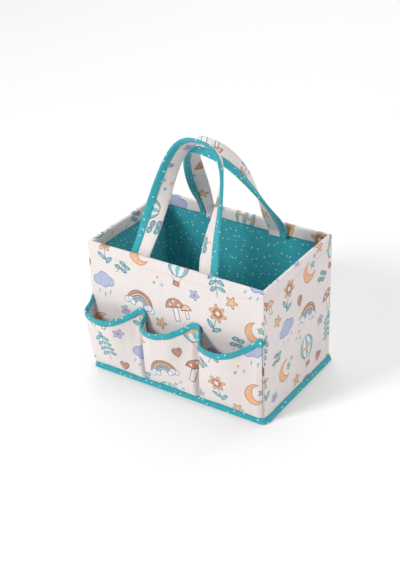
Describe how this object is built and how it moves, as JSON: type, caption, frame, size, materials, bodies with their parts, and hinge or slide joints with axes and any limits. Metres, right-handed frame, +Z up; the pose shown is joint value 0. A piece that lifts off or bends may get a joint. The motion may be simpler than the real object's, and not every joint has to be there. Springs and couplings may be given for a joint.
{
  "type": "baby care organizer",
  "caption": "Soft rectangular nursery caddy of padded printed cotton with a turned hem, a bound foot, a strip of pleated front pockets and standing carrying straps with bound edges.",
  "frame": {"origin": "middle of the flat underside, where the caddy stands, halfway between its side walls and halfway between its front and back walls", "axes": "+Z up, -Y out of the front wall with the pockets, +X to the right seen from the front"},
  "size_m": [0.3, 0.2267, 0.3782],
  "materials": {
    "printed_cotton": "matte",
    "teal_cotton": "matte",
    "foam": "matte",
    "board": "matte"
  },
  "bodies": {
    "caddy": {"front_outer_panel": "printed_cotton", "right_outer_panel": "printed_cotton", "back_outer_panel": "printed_cotton", "left_outer_panel": "printed_cotton", "base_outer_cloth": "printed_cotton", "pocket_strip": "printed_cotton", "front_left_tab": "printed_cotton", "front_right_tab": "printed_cotton", "back_left_tab": "printed_cotton", "back_right_tab": "printed_cotton", "front_lining": "teal_cotton", "right_lining": "teal_cotton", "back_lining": "teal_cotton", "left_lining": "teal_cotton", "base_lining": "teal_cotton", "base_binding": "teal_cotton", "pocket_binding": "teal_cotton", "front_left_tab_binding": "teal_cotton", "front_right_tab_binding": "teal_cotton", "back_left_tab_binding": "teal_cotton", "back_right_tab_binding": "teal_cotton", "front_foam": "foam", "right_foam": "foam", "back_foam": "foam", "left_foam": "foam", "base_board": "board"},
    "front_handle": {"front_strap": "printed_cotton", "front_strap_core": "foam", "front_strap_binding": "teal_cotton"},
    "back_handle": {"back_strap": "printed_cotton", "back_strap_core": "foam", "back_strap_binding": "teal_cotton"}
  },
  "joints": [
    {"name": "front_strap_swing", "type": "hinge", "parent": "caddy", "child": "front_handle", "pos_m": [0, -0.08138, 0.21873], "axis": [1, 0, 0], "range_deg": [0, 130]},
    {"name": "back_strap_swing", "type": "hinge", "parent": "caddy", "child": "back_handle", "pos_m": [0, 0.07643, 0.21921], "axis": [-1, 0, 0], "range_deg": [0, 140]}
  ]
}
